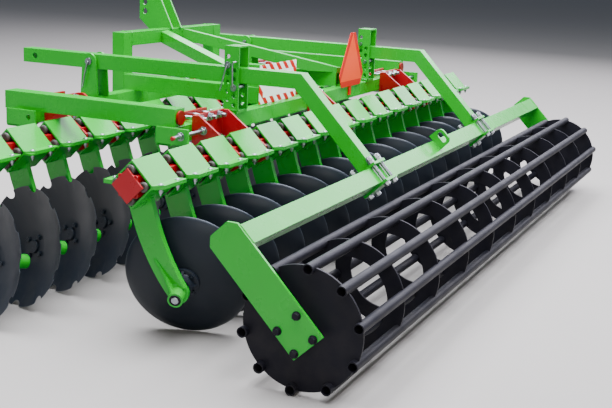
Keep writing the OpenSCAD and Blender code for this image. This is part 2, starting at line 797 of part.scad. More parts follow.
// Round reflectors on the outer beams' rear ends
module reflectors() {
    color("darkred") both_sides()
        translate([outer_x - side_beam / 2, rear_cross_y, cross_top + side_beam / 2]) rotate([90, 0, 0])
            cylinder(d = reflector_d, h = 10);
}

cross_beams();
lugs();
lengthwise_beams();
head_posts();
head_beam();
mast_plates();
link_plates();
braces();
pivot_brackets();
depth_posts();
pivot_pins();
depth_pins();
row_beams();
row_brackets();
frame_bolts();
adjusting_screws();
upper_clamps();
disc_arms();
rubber_cords();
axles();
roller_arms();
roller_beam();
side_plates();
roller();
warning_board();
slow_vehicle_triangle();
reflectors();
front_disc(1);  // front_disc_01
front_disc(2);  // front_disc_02
front_disc(3);  // front_disc_03
front_disc(4);  // front_disc_04
front_disc(5);  // front_disc_05
front_disc(6);  // front_disc_06
front_disc(7);  // front_disc_07
front_disc(8);  // front_disc_08
front_disc(9);  // front_disc_09
front_disc(10);  // front_disc_10
front_disc(11);  // front_disc_11
front_disc(12);  // front_disc_12
front_disc(13);  // front_disc_13
front_disc(14);  // front_disc_14
front_disc(15);  // front_disc_15
front_disc(16);  // front_disc_16
rear_disc(1);  // rear_disc_01
rear_disc(2);  // rear_disc_02
rear_disc(3);  // rear_disc_03
rear_disc(4);  // rear_disc_04
rear_disc(5);  // rear_disc_05
rear_disc(6);  // rear_disc_06
rear_disc(7);  // rear_disc_07
rear_disc(8);  // rear_disc_08
rear_disc(9);  // rear_disc_09
rear_disc(10);  // rear_disc_10
rear_disc(11);  // rear_disc_11
rear_disc(12);  // rear_disc_12
rear_disc(13);  // rear_disc_13
rear_disc(14);  // rear_disc_14
rear_disc(15);  // rear_disc_15
rear_disc(16);  // rear_disc_16
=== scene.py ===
# Dresses the disc harrow for a studio picture: enamel, black steel, bright bolts, welds, rubber cords
# and signs. Everything is in metres. +Y is the direction of travel, +X the machine's right side, and
# the floor is at Z 0.
import json
import math

import bmesh
import bpy
from mathutils import Matrix, Vector

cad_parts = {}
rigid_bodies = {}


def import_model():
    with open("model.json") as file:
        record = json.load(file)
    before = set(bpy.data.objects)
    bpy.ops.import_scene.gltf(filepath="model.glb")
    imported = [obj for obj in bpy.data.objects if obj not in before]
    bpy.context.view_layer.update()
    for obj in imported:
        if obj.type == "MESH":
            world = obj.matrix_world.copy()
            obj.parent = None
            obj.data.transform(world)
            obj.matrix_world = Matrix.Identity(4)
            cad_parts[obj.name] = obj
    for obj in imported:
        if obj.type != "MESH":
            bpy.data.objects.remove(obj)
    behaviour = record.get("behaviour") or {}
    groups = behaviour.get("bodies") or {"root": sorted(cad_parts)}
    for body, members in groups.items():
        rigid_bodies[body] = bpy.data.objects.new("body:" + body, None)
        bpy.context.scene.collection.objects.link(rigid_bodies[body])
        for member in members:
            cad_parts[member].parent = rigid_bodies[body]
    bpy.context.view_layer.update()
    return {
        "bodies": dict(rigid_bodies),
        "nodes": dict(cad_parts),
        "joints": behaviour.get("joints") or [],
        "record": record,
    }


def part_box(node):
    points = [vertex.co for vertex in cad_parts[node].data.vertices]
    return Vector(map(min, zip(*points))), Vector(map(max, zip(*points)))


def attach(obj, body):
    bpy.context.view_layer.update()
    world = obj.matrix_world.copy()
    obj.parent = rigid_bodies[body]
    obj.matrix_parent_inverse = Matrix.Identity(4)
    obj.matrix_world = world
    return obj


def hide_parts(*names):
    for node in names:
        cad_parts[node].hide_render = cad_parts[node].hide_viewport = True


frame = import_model()

bl_info = {
    "name": "Disc harrow dressing",
    "version": (1, 0, 0),
    "blender": (4, 5, 0),
    "location": "View3D > Sidebar > Harrow",
    "description": "Finishes, fasteners and signs of a mounted disc harrow",
    "category": "Object",
}

JOINTS = {joint["child"]: joint for joint in frame["joints"]}
DISCS = sorted(name for name in frame["bodies"] if "_disc_" in name)
# Degrees that each front disc has turned forward from a notch straight down, from the machine's left side
DISC_TURNS = (10, 34, 34, 86, 5, 25, 12, 31, 3, 19, 52, 8, 27, 14, 22, 40)
# Degrees from one rear disc's turn to the next one's
REAR_TURN = 37
# Centre lines of the rear and the front row beam (Y) and their height, and the clamps' places on them
ROWS = (-0.2, 0.59)
ROW_Z = 0.64
ARM_PITCH = 0.25
ARMS = [((k - 7.5) * ARM_PITCH, y) for y in ROWS for k in range(16)]
# Middle of the roller's beam (Y, Z), and the direction up the slope that the roller's frame stands at
BEAM = (-0.72302, 0.53356)
SLOPE = math.radians(46)
BEAM_UP = (0, math.cos(SLOPE), math.sin(SLOPE))
# Radius of the long bolts and threaded rods
ROD = 0.009
# What is made once: the finishes, and the trees of fasteners, beads and rods
STORE = {}


def linear(code):
    """Linear colour of an sRGB hex value."""
    parts = [int(code[i:i + 2], 16) / 255 for i in (1, 3, 5)]
    return tuple(c / 12.92 if c <= 0.04045 else ((c + 0.055) / 1.055) ** 2.4 for c in parts)


def size(name, text, default):
    """A property that holds one size of the harrow."""
    return bpy.props.FloatProperty(name=name, description=text, default=default, unit="LENGTH", precision=4)


def colour(name, text, code):
    """A property that holds one colour of the harrow."""
    return bpy.props.FloatVectorProperty(
        name=name, description=text, default=linear(code), subtype="COLOR", min=0, max=1)


class HarrowColours(bpy.types.PropertyGroup):
    """Colours of the finishes."""
    green: colour("Green enamel", "Frame, arms and side plates", "#009c1e")
    green_shade: colour("Green enamel, thin", "Where the enamel lies thinner", "#009019")
    red: colour("Red enamel", "Row beams and their brackets", "#9c0816")
    black: colour("Black enamel", "Cage roller", "#101017")
    steel: colour("Disc steel", "Hardened discs with their thin black coat", "#0c131b")
    zinc: colour("Zinc", "Bolts, pins and threaded rods", "#a9afb6")
    rubber: colour("Rubber", "Cords of the disc arms", "#080b14")
    dust: colour("Dust", "Dry soil on the lower parts", "#8d8473")
    sign_white: colour("White film", "Middle of the warning board", "#ffffff")
    sign_red: colour("Red film", "Stripes of the warning board", "#cf0800")
    sign_orange: colour("Orange film", "Middle of the slow vehicle triangle", "#ff4a1c")
    floor: colour("Floor", "Studio floor", "#8e8a86")
    sky: colour("Surroundings", "Studio walls and ceiling", "#c9d6ec")


class HarrowDiscSizes(bpy.types.PropertyGroup):
    """Sizes of the discs and hubs, as the frame has them."""
    front: size("Front disc", "Diameter of the notched discs", 0.510)
    rear: size("Rear disc", "Diameter of the plain discs", 0.510)
    notches: bpy.props.IntProperty(name="Notches", description="Notches of a front disc", default=10)
    notch: size("Notch", "Width of a notch", 0.052)
    notch_depth: size("Notch depth", "Depth of a notch", 0.024)
    reach: size("Reach", "From an arm to the plane of its disc's rim", 0.147)
    dish: size("Dish", "Depth of a disc's dish", 0.060)
    thickness: size("Thickness", "Thickness of a disc", 0.005)
    seat: size("Seat", "Diameter of the flat seat", 0.134)
    hub: size("Hub", "Diameter of a hub", 0.084)
    flange: size("Flange", "Diameter of the hub's flange", 0.124)
    flange_thickness: size("Flange thickness", "Thickness of the hub's flange", 0.012)
    bolt_circle: size("Bolt circle", "Circle of the disc's bolts", 0.098)


class HarrowClampSizes(bpy.types.PropertyGroup):
    """Sizes of the clamps that hold the arms."""
    reach: size("Reach", "From the beam's centre line to the rear flange's edge", 0.125)
    front: size("Front", "From the beam's centre line to the front flange's edge", 0.125)
    width: size("Width", "Length of a clamp along the beam", 0.188)
    plate: size("Plate", "Thickness of the clamp plates", 0.008)
    bolt_in: size("Bolt inset", "From a flange's edge to its bolts", 0.019)
    bolt_side: size("Bolt spacing", "From the clamp's middle to a rear bolt", 0.060)
    cord_out: size("Cord end", "How far a cord stands out of the clamp", 0.014)
    cord_at: size("Cord place", "From the beam's centre line to a cord's", 0.05823)
    cord_radius: size("Cord radius", "Radius of a rubber cord", 0.01807)


def settings():
    """The scene's property groups, by short names."""
    scene = bpy.context.scene
    return scene.harrow_colours, scene.harrow_discs, scene.harrow_clamps


# Nodes and materials

def add(tree, kind, inputs=None, **values):
    """Adds a node with its values and inputs. A node as an input stands for its first output in use."""
    node = tree.nodes.new(kind)
    for key, value in values.items():
        setattr(node, key, value)
    for key, value in (inputs or {}).items():
        if isinstance(value, bpy.types.Node):
            value = next(socket for socket in value.outputs if socket.enabled)
        if isinstance(value, bpy.types.NodeSocket):
            tree.links.new(value, node.inputs[key])
        else:
            node.inputs[key].default_value = value
    return node


def rgba(colour_value, share=1.0):
    """Colour with full opacity, darker or lighter by a share."""
    return (*(c * share for c in colour_value[:3]), 1.0)


def new_material(name):
    """Empty node material, its tree, and the places on the piece, in metres."""
    material = bpy.data.materials.new(name)
    material.use_nodes = True
    tree = material.node_tree
    tree.nodes.clear()
    return material, tree, add(tree, "ShaderNodeTexCoord").outputs["Object"]


def finish_material(material, shader_inputs):
    """Gives the material its shader and its output."""
    shader = add(material.node_tree, "ShaderNodeBsdfPrincipled", shader_inputs)
    add(material.node_tree, "ShaderNodeOutputMaterial", {"Surface": shader})
    return material


def dusted(tree, place, base, dust, top, amount):
    """Mixes dust into a colour, more of it on upward faces and below a height."""
    normal = add(tree, "ShaderNodeNewGeometry").outputs["Normal"]
    up = add(tree, "ShaderNodeSeparateXYZ", {"Vector": normal}).outputs["Z"]
    height = add(tree, "ShaderNodeSeparateXYZ", {"Vector": place}).outputs["Z"]
    low = add(tree, "ShaderNodeMapRange", {
        "Value": height, "From Min": top, "From Max": 0.0, "To Min": 0.05, "To Max": 1.0})
    facing = add(tree, "ShaderNodeMapRange", {
        "Value": up, "From Min": -0.2, "From Max": 1.0, "To Min": 0.35, "To Max": 1.0})
    # Dust gathers in patches of about 60 mm
    patches = add(tree, "ShaderNodeTexNoise", {
        "Vector": place, "Scale": 16.0, "Detail": 6.0, "Roughness": 0.65})
    spread = add(tree, "ShaderNodeMapRange", {
        "Value": patches, "From Min": 0.42, "From Max": 0.72, "To Min": 0.0, "To Max": amount})
    one = add(tree, "ShaderNodeMath", {0: low, 1: facing}, operation="MULTIPLY")
    mask = add(tree, "ShaderNodeMath", {0: one, 1: spread}, operation="MULTIPLY")
    mixed = add(tree, "ShaderNodeMix", {"Factor": mask, "A": base, "B": rgba(dust)}, data_type="RGBA")
    return mixed, mask


def mottled(tree, place, scale, detail, low, high):
    """Noise, and a colour that changes with it from a low to a high one."""
    noise = add(tree, "ShaderNodeTexNoise", {"Vector": place, "Scale": scale, "Detail": detail})
    mixed = add(tree, "ShaderNodeMix", {"Factor": noise, "A": rgba(low), "B": rgba(high)}, data_type="RGBA")
    return noise, mixed


def enamel(name, main, thin, dust, amount, gloss=(0.24, 0.33), level=0.34, coat=0.1):
    """Sprayed alkyd enamel on steel: glossy, with a faint orange peel and soft rounded edges."""
    material, tree, place = new_material(name)
    # The film is thicker and thinner over about 300 mm
    base = mottled(tree, place, 3.3, 3.0, thin, main)[1]
    tint, mask = dusted(tree, place, base, dust, 0.7, amount)
    smears = add(tree, "ShaderNodeTexNoise", {"Vector": place, "Scale": 9.0, "Detail": 5.0})
    sheen = add(tree, "ShaderNodeMapRange", {
        "Value": smears, "From Min": 0.3, "From Max": 0.75, "To Min": gloss[0], "To Max": gloss[1]})
    rough = add(tree, "ShaderNodeMix", {"Factor": mask, "A": sheen, "B": 0.85}, data_type="FLOAT")
    # Orange peel of sprayed enamel, drawn at 6 mm so that it shows
    peel = add(tree, "ShaderNodeTexNoise", {"Vector": place, "Scale": 165.0, "Detail": 1.0})
    edge = add(tree, "ShaderNodeBevel", {"Radius": 0.0025}, samples=4)
    bump = add(tree, "ShaderNodeBump", {
        "Height": peel, "Distance": 0.0003, "Strength": 0.25, "Normal": edge})
    return finish_material(material, {
        "Base Color": tint, "Roughness": rough, "Normal": bump,
        "IOR": 1.5, "Specular IOR Level": level, "Coat Weight": coat, "Coat Roughness": 0.1})


def disc_coat(name, steel, dust):
    """Hardened boron steel under a thin black coat: satin, with faint rings from rolling and turning."""
    material, tree, place = new_material(name)
    # The coat is thin and paler in blotches of about 140 mm
    worn = tuple(min(1.0, c * 1.7 + 0.004) for c in steel)
    blotch, base = mottled(tree, place, 7.0, 4.0, steel, worn)
    tint, mask = dusted(tree, place, base, dust, 0.3, 0.08)
    gloss = add(tree, "ShaderNodeMapRange", {
        "Value": blotch, "From Min": 0.3, "From Max": 0.7, "To Min": 0.3, "To Max": 0.46})
    rough = add(tree, "ShaderNodeMix", {"Factor": mask, "A": gloss, "B": 0.85}, data_type="FLOAT")
    # Rings about 5 mm apart, from the share of the radius kept in the UV map
    radius = add(tree, "ShaderNodeSeparateXYZ", {"Vector": add(tree, "ShaderNodeUVMap")}).outputs["Y"]
    rings = add(tree, "ShaderNodeTexNoise", {
        "W": radius, "Scale": 52.0, "Detail": 2.0}, noise_dimensions="1D")
    bump = add(tree, "ShaderNodeBump", {"Height": rings, "Distance": 0.0002, "Strength": 0.3})
    # Painted highlight: a paler, half metallic grey band within a few millimetres of the rim, uneven along
    # it, that stands in for the bright line of light along the disc's edge
    rim_highlight_noise = add(tree, "ShaderNodeTexNoise", {"Vector": place, "Scale": 45.0, "Detail": 3.0})
    edge = add(tree, "ShaderNodeMath", {0: rim_highlight_noise, 1: 0.02, 2: radius}, operation="MULTIPLY_ADD")
    painted_rim_highlight = add(tree, "ShaderNodeMapRange", {
        "Value": edge, "From Min": 1.0, "From Max": 1.012, "To Min": 0.0, "To Max": 0.5})
    # Grey of the painted rim highlight, mixed in where the band lies
    shown = add(tree, "ShaderNodeMix", {
        "Factor": painted_rim_highlight, "A": tint, "B": rgba(linear("#545a63"))}, data_type="RGBA")
    return finish_material(material, {
        "Base Color": shown, "Metallic": painted_rim_highlight, "Roughness": rough, "Normal": bump, "IOR": 1.5,
        "Specular IOR Level": 0.22})


def zinc_plate(name, zinc):
    """Zinc plated steel with a clear passivation: bright, a little uneven, with a fine grain."""
    material, tree, place = new_material(name)
    cloud, base = mottled(tree, place, 60.0, 3.0, rgba(zinc, 0.62), zinc)
    rough = add(tree, "ShaderNodeMapRange", {
        "Value": cloud, "From Min": 0.3, "From Max": 0.7, "To Min": 0.25, "To Max": 0.45})
    edge = add(tree, "ShaderNodeBevel", {"Radius": 0.001}, samples=4)
    grain = add(tree, "ShaderNodeTexNoise", {"Vector": place, "Scale": 900.0, "Detail": 1.0})
    bump = add(tree, "ShaderNodeBump", {
        "Height": grain, "Distance": 0.0001, "Strength": 0.2, "Normal": edge})
    return finish_material(material, {
        "Base Color": base, "Metallic": 1.0, "Roughness": rough, "Normal": bump})


def cord_rubber(name, rubber, dust):
    """Moulded natural rubber: matt, with a grey bloom and a fine pebbled skin."""
    material, tree, place = new_material(name)
    base = mottled(tree, place, 30.0, 4.0, rubber, rgba(dust, 0.25))[1]
    skin = add(tree, "ShaderNodeTexNoise", {"Vector": place, "Scale": 500.0, "Detail": 2.0})
    bump = add(tree, "ShaderNodeBump", {"Height": skin, "Distance": 0.0004, "Strength": 0.4})
    return finish_material(material, {"Base Color": base, "Roughness": 0.48, "Normal": bump, "IOR": 1.52})


def film_finish(material, place, mask, plain, marked, rough, level):
    """Film in a plain colour, and a second one where the mask is 1, with cells about 3 mm wide."""
    tree = material.node_tree
    tint = add(tree, "ShaderNodeMix", {
        "Factor": mask, "A": rgba(plain), "B": rgba(marked)}, data_type="RGBA")
    cells = add(tree, "ShaderNodeTexVoronoi", {"Vector": place, "Scale": 330.0}, feature="DISTANCE_TO_EDGE")
    bump = add(tree, "ShaderNodeBump", {"Height": cells, "Distance": 0.0002, "Strength": 0.2})
    return finish_material(material, {
        "Base Color": tint, "Roughness": rough, "Normal": bump, "Specular IOR Level": level})


def board_film(name, white, red, box):
    """Retroreflective film on sheet metal: a white middle in a border of slanted red and white stripes."""
    material, tree, place = new_material(name)
    axes = add(tree, "ShaderNodeSeparateXYZ", {"Vector": place})
    low, high = box
    border = 0.037
    # Pitch of the stripes, their lean, and how far they are moved, in pitches
    pitch, lean, phase = 0.078, 1.05, 0.135
    # Distance from the board's middle, and whether it is past the white field, on each axis
    offsets = []
    beyond = []
    for label, start, end in (("X", low.x, high.x), ("Z", low.z, high.z)):
        offsets.append(add(tree, "ShaderNodeMath", {
            0: axes.outputs[label], 1: (start + end) / 2}, operation="SUBTRACT"))
        far = add(tree, "ShaderNodeMath", {0: offsets[-1]}, operation="ABSOLUTE")
        beyond.append(add(tree, "ShaderNodeMath", {
            0: far, 1: (end - start) / 2 - border}, operation="GREATER_THAN"))
    across, upward = offsets
    edge = add(tree, "ShaderNodeMath", {0: beyond[0], 1: beyond[1]}, operation="MAXIMUM")
    slant = add(tree, "ShaderNodeMath", {0: upward, 1: lean, 2: across}, operation="MULTIPLY_ADD")
    step = add(tree, "ShaderNodeMath", {0: slant, 1: 1 / pitch, 2: phase}, operation="MULTIPLY_ADD")
    part = add(tree, "ShaderNodeMath", {0: step}, operation="FRACT")
    stripe = add(tree, "ShaderNodeMath", {0: part, 1: 0.5}, operation="LESS_THAN")
    mask = add(tree, "ShaderNodeMath", {0: edge, 1: stripe}, operation="MULTIPLY")
    return film_finish(material, place, mask, white, red, 0.45, 0.15)


def triangle_film(name, orange, red, box):
    """Fluorescent film with a retroreflective red border on a triangle with its corners cut off."""
    material, tree, place = new_material(name)
    axes = add(tree, "ShaderNodeSeparateXYZ", {"Vector": place})
    low, high = box
    side = add(tree, "ShaderNodeMath", {
        0: axes.outputs["X"], 1: (low.x + high.x) / 2}, operation="SUBTRACT")
    across = add(tree, "ShaderNodeMath", {0: side}, operation="ABSOLUTE")
    border = 0.032
    # A slanting edge's reach and rise, the foot's height, and the sign's height with half its tip's width
    reach, rise = 0.139, 0.2361
    foot = 0.763
    tall, tip = 0.3045, 0.036
    length = math.hypot(reach, rise)
    # Distance to the slanting edge, which runs from the side corner up to the tip
    lean = add(tree, "ShaderNodeMath", {
        0: across, 1: -rise / length, 2: tall * reach / length + tip * rise / length},
        operation="MULTIPLY_ADD")
    height = add(tree, "ShaderNodeMath", {0: axes.outputs["Z"], 1: foot}, operation="SUBTRACT")
    slant = add(tree, "ShaderNodeMath", {0: height, 1: -reach / length, 2: lean}, operation="MULTIPLY_ADD")
    near = add(tree, "ShaderNodeMath", {0: slant, 1: height}, operation="MINIMUM")
    mask = add(tree, "ShaderNodeMath", {0: near, 1: border}, operation="LESS_THAN")
    return film_finish(material, place, mask, orange, red, 0.5, 0.25)


def lens_plastic(name, red):
    """Moulded acrylic reflector: deep red, glossy, with a prism pattern under the face."""
    material, tree, place = new_material(name)
    # Prisms are 4 mm wide
    prisms = add(tree, "ShaderNodeTexVoronoi", {
        "Vector": place, "Scale": 250.0}, feature="DISTANCE_TO_EDGE")
    tint = add(tree, "ShaderNodeMix", {
        "Factor": prisms, "A": rgba(red, 0.25), "B": rgba(red)}, data_type="RGBA")
    bump = add(tree, "ShaderNodeBump", {"Height": prisms, "Distance": 0.0005, "Strength": 0.4})
    return finish_material(material, {
        "Base Color": tint, "Roughness": 0.4, "Normal": bump,
        "Specular IOR Level": 0.15, "IOR": 1.49})


def floor_finish(name, pale):
    """Matt studio floor with a faint unevenness."""
    material, tree, place = new_material(name)
    tint = mottled(tree, place, 2.0, 4.0, rgba(pale, 0.96), pale)[1]
    return finish_material(material, {"Base Color": tint, "Roughness": 0.9})


def finishes():
    """All finishes of the harrow by slot, made once."""
    if "finishes" not in STORE:
        tone = settings()[0]
        STORE["finishes"] = {
            "green_paint": enamel("green_enamel", tone.green, tone.green_shade, tone.dust, 0.1),
            "red_paint": enamel("red_enamel", tone.red, rgba(tone.red, 0.8), tone.dust, 0.12, coat=0.0),
            "black_paint": enamel(
                "black_enamel", tone.black, rgba(tone.black, 1.4), tone.dust, 0.06,
                gloss=(0.45, 0.6), level=0.13, coat=0.0),
            "disc_steel": disc_coat("coated_disc_steel", tone.steel, tone.dust),
            "zinc": zinc_plate("zinc_plated_steel", tone.zinc),
            "rubber": cord_rubber("moulded_rubber", tone.rubber, tone.dust),
            "sign_white": board_film(
                "striped_board_film", tone.sign_white, tone.sign_red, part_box("warning_board")),
            "sign_orange": triangle_film(
                "triangle_film", tone.sign_orange, tone.sign_red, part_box("slow_vehicle_triangle")),
            "reflector_red": lens_plastic("reflector_acrylic", tone.sign_red),
        }
    return STORE["finishes"]


# Meshes

def new_object(name, mesh, slot, body):
    """Puts a mesh into the scene as a piece that rides on a body."""
    mesh.name = name
    piece = bpy.data.objects.new(name, mesh)
    bpy.context.scene.collection.objects.link(piece)
    if not mesh.materials:
        mesh.materials.append(finishes()[slot])
    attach(piece, body)
    return piece


def axle(name):
    """Place of a disc's axle at its arm, and its direction to the disc."""
    joint = JOINTS[name]
    return Vector(joint["pos_m"]), Vector(joint["axis"]).normalized()


def axle_frame(name):
    """Matrix of a disc's axle: local Z from the arm to the disc, local X down."""
    place, along = axle(name)
    down = Vector((0, 0, -1))
    down = (down - along * down.dot(along)).normalized()
    turn = Matrix((down, along.cross(down), along)).transposed().to_4x4()
    return Matrix.Translation(place) @ turn


def lathe(rings, angles, rim=None):
    """Closed mesh from rings, with the turn and the share of the rim's radius as UV.

    A ring is its radius, or None for the rim's own at each angle, an inset from it, and its height
    or a function of the radius that gives the height.
    """
    shape = bmesh.new()
    uv = shape.loops.layers.uv.new("UVMap")
    loops = []
    for radius, inset, height in rings:
        loop = []
        for i, angle in enumerate(angles):
            r = (rim[i] if radius is None else radius) - inset
            place = height(r) if callable(height) else height
            loop.append(shape.verts.new((r * math.cos(angle), r * math.sin(angle), place)))
        loops.append((loop, (max(rim) if radius is None else radius) - inset))
    count = len(angles)
    full = max(rim or (1,))
    for (lower, first), (upper, last) in zip(loops, loops[1:]):
        for i in range(count):
            j = (i + 1) % count
            face = shape.faces.new((lower[i], lower[j], upper[j], upper[i]))
            face.smooth = True
            turns = (i / count, (i + 1) / count, (i + 1) / count, i / count)
            for corner, turn, r in zip(face.loops, turns, (first, first, last, last)):
                corner[uv].uv = (turn, r / full)
    return shape


def mesh_of(shape, name="part"):
    """Turns a bmesh into a mesh with its faces outward."""
    bmesh.ops.remove_doubles(shape, verts=shape.verts, dist=1e-6)
    bmesh.ops.recalc_face_normals(shape, faces=shape.faces)
    mesh = bpy.data.meshes.new(name)
    shape.to_mesh(mesh)
    shape.free()
    return mesh


def prism(shape, outlines):
    """Adds a closed prism between two outlines to a bmesh."""
    low, high = ([shape.verts.new(point) for point in outline] for outline in outlines)
    shape.faces.new(low)
    shape.faces.new(high[::-1])
    for a in range(len(low)):
        b = (a + 1) % len(low)
        shape.faces.new((low[b], low[a], high[a], high[b]))


def circle(count):
    """Angles of the points round a circle."""
    return [2 * math.pi * i / count for i in range(count)]


# Geometry Nodes trees

def new_tree(name, *sizes):
    """Geometry tree with an input for each named size and one for its finish."""
    tree = bpy.data.node_groups.new(name, "GeometryNodeTree")
    kinds = {"Geometry": "Geometry", **{label: "Float" for label in sizes}, "Finish": "Material"}
    for label, kind in kinds.items():
        tree.interface.new_socket(label, in_out="INPUT", socket_type="NodeSocket" + kind)
    tree.interface.new_socket("Geometry", in_out="OUTPUT", socket_type="NodeSocketGeometry")
    return tree, add(tree, "NodeGroupInput").outputs


def end_tree(tree, geometry, finish):
    """Makes the tree's instances real, gives them their finish and ends the tree."""
    real = add(tree, "GeometryNodeRealizeInstances", {"Geometry": geometry})
    painted = add(tree, "GeometryNodeSetMaterial", {"Geometry": real, "Material": finish})
    add(tree, "NodeGroupOutput", {"Geometry": painted})


def stack_tree(name, stack):
    """Tree that puts a stack of steps on each point, along the point's "along" attribute.

    A step is its start and its height, each in diameters and grips, its radius at both ends in
    diameters, and its number of sides.
    """
    tree, given = new_tree(name, "Diameter", "Grip")

    def measure(diameters, grips=0.0):
        wide = add(tree, "ShaderNodeMath", {0: given["Diameter"], 1: diameters}, operation="MULTIPLY")
        return add(tree, "ShaderNodeMath", {0: given["Grip"], 1: grips, 2: wide}, operation="MULTIPLY_ADD")

    joined = add(tree, "GeometryNodeJoinGeometry")
    for start, height, low, high, sides in stack:
        step = add(tree, "GeometryNodeMeshCone", {
            "Vertices": sides, "Radius Bottom": measure(low), "Radius Top": measure(high),
            "Depth": measure(*height)})
        lift = add(tree, "ShaderNodeCombineXYZ", {"Z": measure(*start)})
        moved = add(tree, "GeometryNodeTransform", {"Geometry": step, "Translation": lift})
        tree.links.new(moved.outputs["Geometry"], joined.inputs["Geometry"])
    along = add(tree, "GeometryNodeInputNamedAttribute", {"Name": "along"}, data_type="FLOAT_VECTOR")
    turn = add(tree, "FunctionNodeAlignRotationToVector", {"Vector": along}, axis="Z")
    placed = add(tree, "GeometryNodeInstanceOnPoints", {
        "Points": given["Geometry"], "Instance": joined, "Rotation": turn})
    end_tree(tree, placed, given["Finish"])
    return tree


def rod_tree(name, sides):
    """Tree that runs a rod along each path, with rounded bends and with a thread's ripples."""
    tree, given = new_tree(name, "Radius", "Bend", "Ripple", "Pitch")
    curve = add(tree, "GeometryNodeMeshToCurve", {"Mesh": given["Geometry"]})
    bent = add(tree, "GeometryNodeFilletCurve", {
        "Curve": curve, "Radius": given["Bend"], "Count": 4, "Limit Radius": True}, mode="POLY")
    half = add(tree, "ShaderNodeMath", {0: given["Pitch"], 1: 0.5}, operation="MULTIPLY")
    fine = add(tree, "GeometryNodeResampleCurve", {"Curve": bent, "Length": half}, mode="LENGTH")
    odd = add(tree, "ShaderNodeMath", {0: add(tree, "GeometryNodeInputIndex"), 1: 2.0}, operation="MODULO")
    less = add(tree, "ShaderNodeMath", {0: odd, 1: given["Ripple"]}, operation="MULTIPLY")
    thick = add(tree, "ShaderNodeMath", {0: 1.0, 1: less}, operation="SUBTRACT")
    sized = add(tree, "GeometryNodeSetCurveRadius", {"Curve": fine, "Radius": thick})
    ring = add(tree, "GeometryNodeCurvePrimitiveCircle", {"Resolution": sides, "Radius": given["Radius"]})
    tube = add(tree, "GeometryNodeCurveToMesh", {
        "Curve": sized, "Profile Curve": ring, "Fill Caps": True})
    end_tree(tree, tube, given["Finish"])
    return tree


# Steps of each fastener, as stack_tree takes them
FASTENERS = {
    # Low round head over the grip, shank, washer, two nuts and the tail under it
    "clamp_bolt": (
        ((0, 1), (0.22, 0), 1.25, 1.22, 14), ((0.22, 1), (0.3, 0), 0.85, 0.6, 12),
        ((-0.2, 0), (0.2, 0), 1.15, 1.15, 12), ((-1.1, 0), (0.9, 0), 0.92, 0.92, 6),
        ((-1.7, 0), (0.6, 0), 0.84, 0.92, 6), ((-2.6, 0), (0.9, 0), 0.42, 0.5, 8)),
    # Hexagon head on a washer over the grip, and a nut on a washer under it with the thread's end
    "hex_bolt": (
        ((0, 1), (0.14, 0), 1.05, 1.05, 16), ((0.14, 1), (0.5, 0), 0.88, 0.88, 6),
        ((0.64, 1), (0.1, 0), 0.88, 0.74, 6), ((-0.14, 0), (0.14, 0), 1.05, 1.05, 16),
        ((-0.86, 0), (0.72, 0), 0.88, 0.88, 6), ((-0.96, 0), (0.1, 0), 0.74, 0.88, 6),
        ((-1.3, 0), (0.34, 0), 0.4, 0.46, 8)),
    # Nut on a washer, chamfered on its free side
    "nut": (
        ((0, 0), (0.16, 0), 1.05, 1.05, 16), ((0.16, 0), (0.72, 0), 0.88, 0.88, 6),
        ((0.88, 0), (0.1, 0), 0.88, 0.76, 6)),
    # Low disc bolt: head over the disc, nut behind the hub's flange
    "disc_bolt": (
        ((0, 1), (0.5, 0), 0.9, 0.9, 6), ((0.5, 1), (0.12, 0), 0.9, 0.7, 6),
        ((-0.75, 0), (0.75, 0), 0.9, 0.9, 6), ((-0.95, 0), (0.2, 0), 0.4, 0.46, 8)),
    # Rubber cord that swells where it leaves the clamp
    "cord": (
        ((-0.08, 0), (0.1, 0), 0.40, 0.54, 14), ((0.02, 0), (0.16, 0), 0.54, 0.57, 14),
        ((0.18, 0), (0.14, 0), 0.57, 0.5, 14), ((0.32, 0), (-0.64, 1), 0.5, 0.5, 14),
        ((-0.32, 1), (0.14, 0), 0.5, 0.57, 14), ((-0.18, 1), (0.16, 0), 0.57, 0.54, 14),
        ((-0.02, 1), (0.1, 0), 0.54, 0.40, 14)),
    # The axle's end, and the ring round it on the boss
    "axle_end": (((0, 0), (0.08, 0), 0.36, 0.36, 20), ((0.08, 0), (0.03, 0), 0.36, 0.32, 20)),
    "axle_ring": (((0, 0), (0.04, 0), 0.58, 0.57, 24), ((0.04, 0), (0.02, 0), 0.57, 0.52, 24)),
    # Cap pushed over a screw's end
    "cap": (((0, 0), (0.7, 0), 0.51, 0.53, 16), ((0.7, 0), (0.1, 0), 0.53, 0.42, 16)),
}


# Sides of a bead's and of a rod's section
SIDES = {"bead": 6, "rod": 10}


def tree_of(kind):
    """Tree of a fastener, of a bead or of a rod, made once."""
    if kind not in STORE:
        fastener = kind in FASTENERS
        STORE[kind] = stack_tree(kind, FASTENERS[kind]) if fastener else rod_tree(kind, SIDES[kind])
    return STORE[kind]


def grown(kind, mesh, slot, sizes):
    """Mesh that a tree makes of a mesh of points or paths, with its sizes set by name."""
    tree = tree_of(kind)
    carrier = bpy.data.objects.new("carrier", mesh)
    bpy.context.scene.collection.objects.link(carrier)
    modifier = carrier.modifiers.new("made", "NODES")
    modifier.node_group = tree
    names = {item.name: item.identifier for item in tree.interface.items_tree if item.in_out == "INPUT"}
    for name, value in {**sizes, "Finish": finishes()[slot]}.items():
        modifier[names[name]] = value
    made = carrier.evaluated_get(bpy.context.evaluated_depsgraph_get())
    result = bpy.data.meshes.new_from_object(made)
    result.shade_smooth()
    result.set_sharp_from_angle(angle=math.radians(36))
    bpy.data.objects.remove(carrier)
    bpy.data.meshes.remove(mesh)
    return result


def points_mesh(rows):
    """Mesh of points from (place, direction) rows, with the direction as the "along" attribute."""
    mesh = bpy.data.meshes.new("points")
    mesh.from_pydata([place for place, along in rows], [], [])
    attribute = mesh.attributes.new("along", "FLOAT_VECTOR", "POINT")
    attribute.data.foreach_set("vector", [part for place, along in rows for part in along])
    return mesh


